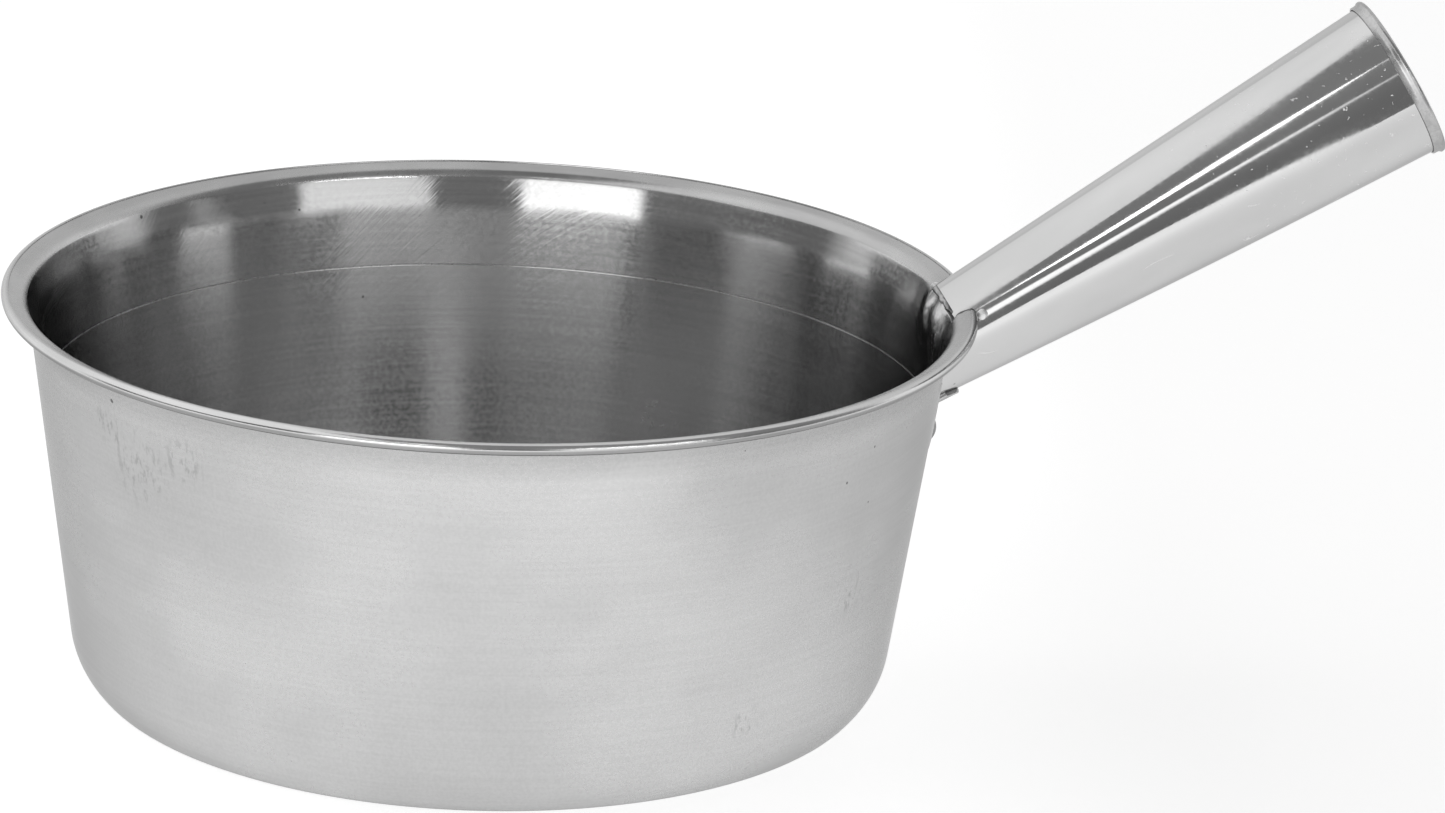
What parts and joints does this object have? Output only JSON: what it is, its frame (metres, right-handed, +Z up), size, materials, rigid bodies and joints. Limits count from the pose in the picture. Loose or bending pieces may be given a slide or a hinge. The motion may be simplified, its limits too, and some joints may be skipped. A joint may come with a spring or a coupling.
{
  "type": "melting pot",
  "caption": "Drawn sheet-metal melting pot with tapered wall, flared curled rim and a hollow conical handle sloping up from the rim, riveted and welded on.",
  "frame": {"origin": "centre of the flat underside of the base, on the pot's axis", "axes": "+Z up along the pot's axis, +X towards the handle, +Y to the left when looking out along the handle"},
  "size_m": [0.2991, 0.2, 0.1436],
  "materials": {
    "pot_steel": "satin stainless steel, finely brushed outside and spun inside",
    "handle_steel": "mirror-polished stainless steel with fine scratches",
    "cap_steel": "polished pressed stainless steel",
    "bracket_steel": "satin stainless sheet",
    "rivet_steel": "dull stainless rivet",
    "weld_steel": "bright weld metal"
  },
  "bodies": {
    "root": {"pot_body": "pot_steel", "handle_tube": "handle_steel", "handle_end_cap": "cap_steel", "handle_bracket": "bracket_steel", "bracket_rivets": "rivet_steel", "joint_welds": "weld_steel"}
  },
  "joints": []
}
